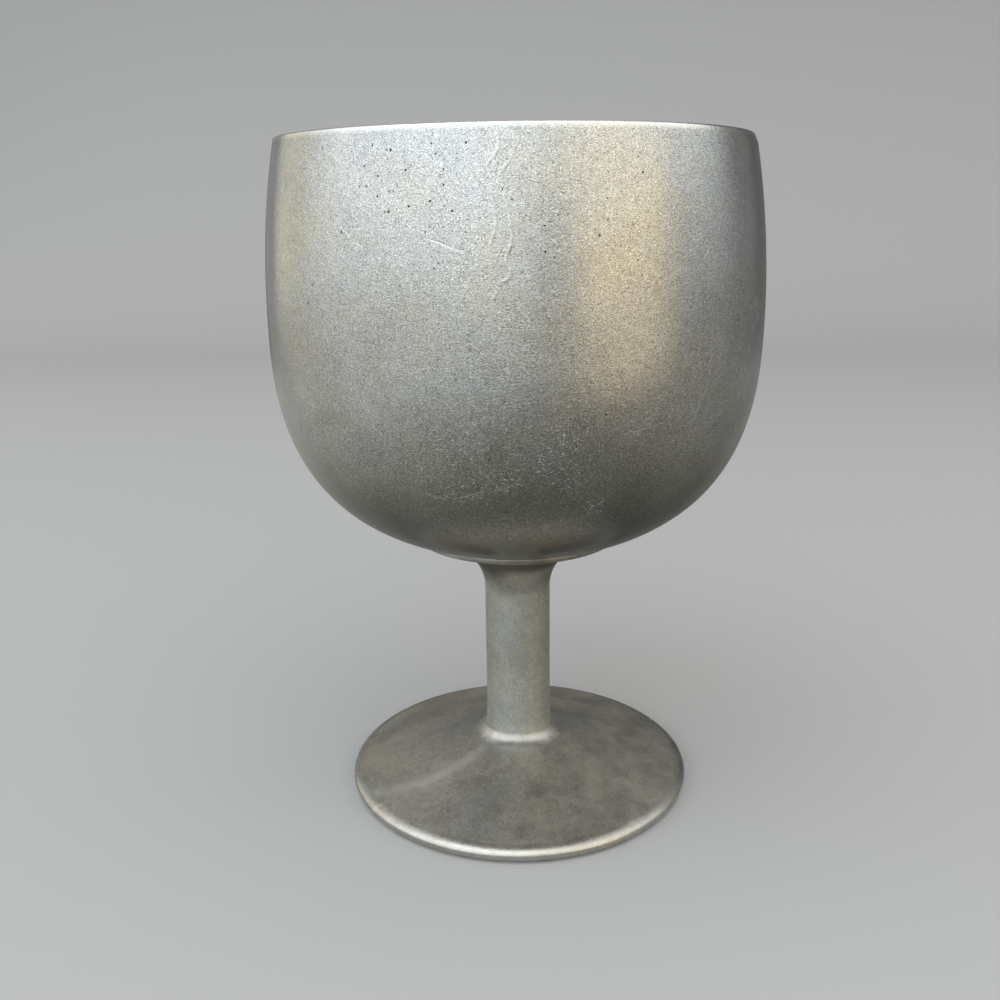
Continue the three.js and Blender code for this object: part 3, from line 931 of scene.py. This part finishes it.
def foot_relief(radius, angle, height):
    if height < 0.05 * MM or height > HUB_HEIGHT - 0.01 * MM:
        return 0.0
    proud = column_relief(radius, angle, height)
    outwards = Vector((0, 0, radius / GRINDING_LENGTH))
    marks = noise.noise(at(STEM_RADIUS, angle, 0, GRINDING_WIDTH) + outwards)
    fading = max(0.0, 1 - abs(radius - GRINDING_RADIUS) / GRINDING_REACH)
    proud += GRINDING_DEPTH * marks * fading
    if radius > FOOT_RADIUS - EDGE_ROUNDING:
        for azimuth, width, depth in EDGE_NICKS:
            turn = (angle - math.radians(azimuth - 90) + math.pi) % (2 * math.pi) - math.pi
            proud -= depth * MM * math.exp(-(turn * radius / (width * MM)) ** 2)
    return proud


def wear_foot(bm):
    """Says where the foot is matt, worn bright and tarnished, and where light and shade are
    painted on it. Painted shade darkens it towards the right.
    """
    wear_and_painted_highlight = bm.verts.layers.float["wear_and_painted_highlight"]
    matt = bm.verts.layers.float["matt"]
    tarnish_and_painted_shade = bm.verts.layers.float["tarnish_and_painted_shade"]
    painted_streak = [Vector((r * math.sin(math.radians(a)), -r * math.cos(math.radians(a)), 0)) * MM
              for a, r in PAINTED_REFLECTION_STREAK]
    for vert in bm.verts:
        radius = math.hypot(vert.co.x, vert.co.y)
        # The hub's ring: rubbed metal with a painted highlight.
        hub = math.exp(-((radius - HUB_RING_RADIUS) / HUB_RING_WIDTH) ** 2)
        vert[matt] = clamped((MATT_RADIUS - radius) / MATT_FADE) * (1 - 0.5 * hub)
        if radius > FOOT_RADIUS - EDGE_ROUNDING:
            vert[wear_and_painted_highlight] = EDGE_SHINE
        elif vert.normal.z > 0.3:
            # A painted reflection streak across the top of the foot.
            away = distance_to(painted_streak, Vector((vert.co.x, vert.co.y, 0)))
            marked = math.exp(-(away / PAINTED_STREAK_WIDTH) ** 2)
            vert[wear_and_painted_highlight] = max(PAINTED_STREAK_BRIGHTNESS * marked, HUB_WEAR_AND_HIGHLIGHT * hub)
        drift = 0.50 * noise.noise(vert.co / (8 * MM)) + 0.25 * noise.noise(vert.co / (3 * MM))
        # Random tarnish, and painted shade that grows towards the right; none on the hub's ring.
        vert[tarnish_and_painted_shade] = max(0.0, drift + 0.40 * vert.co.x / FOOT_RADIUS) * (1 - hub)


def foot():
    bm, _ = turned_mesh(foot_outline(), 320, foot_relief)
    wear_foot(bm)
    return as_object("foot_casting", bm, FOOT_METAL, "foot")


# ---- fasteners ------------------------------------------

def thread_profile(turns):
    """Height of a V thread with a flat crest and a rounded root, from 0 to 1."""
    wave = abs(2 * (turns - math.floor(turns)) - 1)
    return clamped(1.35 * wave - 0.12)


def tie_rod():
    bottom = bottom_of("tie_rod")
    top = top_of("tie_rod")
    chamfer = 0.7 * MM
    root = ROD_RADIUS - THREAD_DEPTH
    side = line((ROD_RADIUS, bottom), (ROD_RADIUS, top), THREAD_PITCH / 8)
    outline = joined([(0, bottom)], line((0.5 * root, bottom), (root, bottom), 0.6 * MM),
                     side, line((root, top), (0.5 * root, top), 0.6 * MM), [(0, top)])

    def relief(radius, angle, height):
        if radius < ROD_RADIUS - 0.01 * MM:
            return 0.0
        turns = height / THREAD_PITCH - angle / (2 * math.pi)
        ends = min(height - bottom, top - height)
        allowed = max(0.0, 1 - ends / chamfer) * THREAD_DEPTH
        return -max(THREAD_DEPTH * (1 - thread_profile(turns)), allowed)

    bm, _ = turned_mesh(outline, 40, relief, closed=False)
    return as_object("threaded_rod", bm, ROD_STEEL, "tie_rod")


def clamp_washer():
    outline = disc_outline(FASTENER_BORE, radius_of("clamp_washer"), bottom_of("clamp_washer"),
                           top_of("clamp_washer"), 0.18 * MM, flat_step=1 * MM,
                           round_step=0.07 * MM)
    bm, _ = turned_mesh(outline, 120, cast_relief(swell=0.008 * MM, grain=0, seed=2.2))
    return as_object("plain_washer", bm, WASHER_STEEL, "clamp_washer")


def lock_washer():
    """A square-section ring, cut through, with its two ends sprung a little apart."""
    low, high = bottom_of("lock_washer"), top_of("lock_washer")
    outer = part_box("lock_washer")[1][1]
    inner = FASTENER_BORE
    middle = (low + high) / 2
    half_height = (high - low) / 2 - 0.08 * MM
    half_width = (outer - inner) / 2
    corner = 0.2 * MM
    section = []
    for sign_r, sign_z, start in ((1, -1, -90), (1, 1, 0), (-1, 1, 90), (-1, -1, 180)):
        centre = ((outer + inner) / 2 + sign_r * (half_width - corner),
                  sign_z * (half_height - corner))
        section += arc(*centre, corner, math.radians(start), math.radians(start + 90), 0.1 * MM)
    gap = math.radians(12)
    steps = 110
    bm = bmesh.new()
    rings = []
    for i in range(steps + 1):
        along = i / steps
        angle = gap / 2 + (2 * math.pi - gap) * along
        lift = (along - 0.5) * 0.15 * MM
        rings.append([bm.verts.new((r * math.cos(angle), r * math.sin(angle), middle + z + lift))
                      for r, z in section])
    for a, b in zip(rings, rings[1:]):
        for j in range(len(section)):
            k = (j + 1) % len(section)
            bm.faces.new((a[j], b[j], b[k], a[k]))
    bm.faces.new(rings[0])
    bm.faces.new(rings[-1][::-1])
    bmesh.ops.recalc_face_normals(bm, faces=bm.faces)
    return as_object("spring_washer", bm, SPRING_STEEL, "lock_washer")


def nut():
    """A hexagon whose corners are turned off at both faces, with a threaded, countersunk bore."""
    low, high = bottom_of("nut"), top_of("nut")
    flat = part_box("nut")[1][1]
    turned_radius = flat * 0.97
    sink = 0.45 * MM
    step = 0.125 * MM

    def hexagon(angle):
        sixth = math.pi / 3
        return flat / math.cos(angle % sixth - sixth / 2)

    outline = joined(
        line((FASTENER_BORE + sink, low), (turned_radius, low), 0.5 * MM),
        line((turned_radius, low), (turned_radius + 0.001 * MM, high), step),
        line((turned_radius, high), (FASTENER_BORE + sink, high), 0.5 * MM),
        line((FASTENER_BORE + sink, high), (FASTENER_BORE, high - sink), 0.15 * MM),
        line((FASTENER_BORE, high - sink), (FASTENER_BORE, low + sink), step),
        line((FASTENER_BORE, low + sink), (FASTENER_BORE + sink, low), 0.15 * MM)[:-1])

    def relief(radius, angle, height):
        if radius > turned_radius - 0.001 * MM:
            from_face = min(height - low, high - height)
            return min(hexagon(angle) - radius, max(0.0, from_face) * 1.7)
        if radius < FASTENER_BORE + 0.01 * MM:
            turns = height / THREAD_PITCH - angle / (2 * math.pi)
            return -0.25 * MM * (1 - thread_profile(turns + 0.5))
        return 0.0

    bm, _ = turned_mesh(outline, 180, relief)
    return as_object("hex_nut", bm, NUT_STEEL, "nut")


# ---- studio ---------------------------------------------

def sweep(name):
    """A plain sheet that runs back from the chalice and sweeps up behind it, and its shader."""
    half_width = 4.0
    bend = 0.75
    radius = 0.45
    rise = 1.3
    steps = 16
    section = [(-half_width, 0.0), (bend, 0.0)]
    for i in range(1, steps + 1):
        angle = QUARTER_TURN * i / steps
        section.append((bend + radius * math.sin(angle), radius - radius * math.cos(angle)))
    section.append((bend + radius, radius + rise))
    bm = bmesh.new()
    left = [bm.verts.new((-half_width, y, z)) for y, z in section]
    right = [bm.verts.new((half_width, y, z)) for y, z in section]
    for i in range(len(section) - 1):
        face = bm.faces.new((left[i], right[i], right[i + 1], left[i + 1]))
        face.smooth = True
    mesh = bpy.data.meshes.new(name)
    bm.to_mesh(mesh)
    bm.free()
    sheet = bpy.data.objects.new(name, mesh)
    bpy.context.scene.collection.objects.link(sheet)
    material = bpy.data.materials.new(name)
    mesh.materials.append(material)
    n = Nodes(material)
    n.feed("Roughness", 0.9)
    n.feed("Specular IOR Level", 0.2)
    return sheet, n


def grey(level):
    return rgb(level, level, level)


def pale_floor():
    sheet, n = sweep("pale_floor")
    n.feed("Base Color", rgb(0.44, 0.44, 0.445))
    sheet.visible_glossy = False


def reflected_floor():
    """What the metal reflects of the floor: another sheet in the same place, toned like grey cloth
    and painted with light and shade: painted light on the left and close round the foot, a painted
    shadow of the chalice on the right, and one painted pool of warm light in front on the right.
    The wall is darker behind the chalice than at its sides."""
    sheet, n = sweep("reflected_floor")
    split = n.add("ShaderNodeSeparateXYZ", {"Vector": n.place})
    across = split.outputs["X"]
    # Painted light on the left and a painted shadow of the chalice on the right, near and far.
    tone = n.blend(n.ramp(across, -0.25, 0.05), rgb(0.42, 0.42, 0.40), rgb(0.165, 0.163, 0.153))
    tone = n.blend(n.ramp(across, 0.07, 0.25), tone, rgb(0.24, 0.235, 0.225))
    away = n.add("ShaderNodeVectorMath", {0: n.place}, operation="LENGTH").outputs["Value"]
    distant = n.blend(n.ramp(across, 0.1, 0.6), grey(0.32), grey(0.20))
    tone = n.blend(n.ramp(away, 0.40, 0.80), tone, distant)
    # Painted light close round the foot.
    tone = n.blend(n.ramp(away, 0.046, 0.056, 1, 0), tone, rgb(0.40, 0.40, 0.41))
    # A painted pool of warm light in front on the right.
    from_painted_warm_light = n.add("ShaderNodeVectorMath", {0: n.place, 1: (0.66, -0.60, 0)},
                      operation="DISTANCE").outputs["Value"]
    tone = n.blend(n.ramp(from_painted_warm_light, 0.18, 0.48, 1, 0), tone, rgb(0.75, 0.60, 0.42))
    at_wall = n.ramp(split.outputs["Y"], 0.4, 0.9)
    beside = n.ramp(n.math("ABSOLUTE", across), 1.15, 1.40)
    behind = n.blend(n.ramp(across, -0.6, -0.3), grey(0.34), grey(0.16))
    sides = n.blend(n.ramp(across, -1, 1), grey(0.49), grey(0.37))
    wall = n.blend(beside, behind, sides)
    n.feed("Base Color", n.blend(at_wall, tone, wall))
    sheet.location = (0, -0.3 * MM, 0.3 * MM)
    sheet.visible_camera = False
    sheet.visible_diffuse = False
    sheet.visible_shadow = False


# Soft rectangles of light that face the cup. The azimuth runs from the camera's side to the
# right, in degrees. The brightness is the radiance of the face.
LIGHT_DISTANCE = 1.1
LIGHT_TARGET = Vector((0, 0, 0.10))
#    name, azimuth, elevation, width, height, brightness, colour
SOFTBOXES = (
    ("window", -48, 36, 1.80, 0.90, 0.87, (0.80, 0.89, 1.0)),
    ("low_window", -29, 8, 1.76, 0.40, 0.74, (0.96, 1.0, 0.91)),
    ("side_window", -116, 14, 0.66, 0.80, 0.50, (1.0, 0.95, 0.72)),
    ("left_window", -84, 5, 0.60, 0.50, 0.54, (1.0, 1.0, 0.95)),
    ("warm_lamp", 45, 3, 0.80, 0.76, 0.87, (1.0, 0.74, 0.36)),
    ("right_window", 50, 38, 2.4, 0.75, 0.58, (0.97, 1.0, 0.92)),
    ("overhead", -25, 66, 1.2, 0.7, 0.83, (0.80, 0.92, 1.0)),
)


def softbox(name, azimuth, elevation, width, height, brightness, colour):
    a, e = math.radians(azimuth), math.radians(elevation)
    towards = Vector((math.sin(a) * math.cos(e), -math.cos(a) * math.cos(e), math.sin(e)))
    light = bpy.data.lights.new(name, "AREA")
    light.shape = "RECTANGLE"
    light.size = width
    light.size_y = height
    light.energy = brightness * math.pi * width * height
    light.color = colour
    lamp = bpy.data.objects.new(name, light)
    bpy.context.scene.collection.objects.link(lamp)
    lamp.location = LIGHT_TARGET + towards * LIGHT_DISTANCE
    lamp.rotation_euler = (-towards).to_track_quat("-Z", "Y").to_euler()
    lamp.visible_camera = False


def soft_room(low, level, high):
    """Dim light from all round: radiance straight down, at the horizon and overhead."""
    world = bpy.data.worlds.new("soft_room")
    bpy.context.scene.world = world
    n = Nodes(world, "Background", "Generated")
    split = n.add("ShaderNodeSeparateXYZ", {"Vector": n.place})
    height = n.add("ShaderNodeMapRange", {"Value": split.outputs["Z"], "From Min": -1})
    ramp = n.add("ShaderNodeValToRGB", {"Fac": height.outputs["Result"]})
    stops = ramp.color_ramp.elements
    stops[0].color = rgb(*low)
    stops[1].color = rgb(*high)
    for place, colour in ((0.44, low), (0.54, level)):
        stops.new(place).color = rgb(*colour)
    n.feed("Color", ramp.outputs["Color"])


def camera():
    """A phone held close: just under the rim's height, tipped down a little."""
    distance = 235.3 * MM
    height = 136.9 * MM
    down, turn, roll = 0.2776, -0.0167, -0.0131
    focal_in_frames = 1.0451
    sensor = 36.0
    forward = Vector((math.sin(turn) * math.cos(down), math.cos(turn) * math.cos(down),
                      -math.sin(down)))
    level = Vector((math.cos(turn), -math.sin(turn), 0))
    above = level.cross(forward)
    right = level * math.cos(roll) + above * math.sin(roll)
    up = above * math.cos(roll) - level * math.sin(roll)
    data = bpy.data.cameras.new("camera")
    data.sensor_width = sensor
    data.lens = sensor * focal_in_frames
    data.clip_start = 0.01
    view = bpy.data.objects.new("camera", data)
    bpy.context.scene.collection.objects.link(view)
    turned_to = Matrix((right, up, -forward)).transposed().to_4x4()
    view.matrix_world = Matrix.Translation((0, -distance, height)) @ turned_to
    bpy.context.scene.camera = view


# ---- build ----------------------------------------------

camera()
cup()
collar()
stem()
foot()
tie_rod()
clamp_washer()
lock_washer()
nut()
pale_floor()
reflected_floor()
soft_room(low=(0.50, 0.50, 0.45), level=(0.47, 0.51, 0.53), high=(1.15, 1.12, 1.08))
for box in SOFTBOXES:
    softbox(*box)
bpy.context.scene.view_settings.view_transform = "Standard"
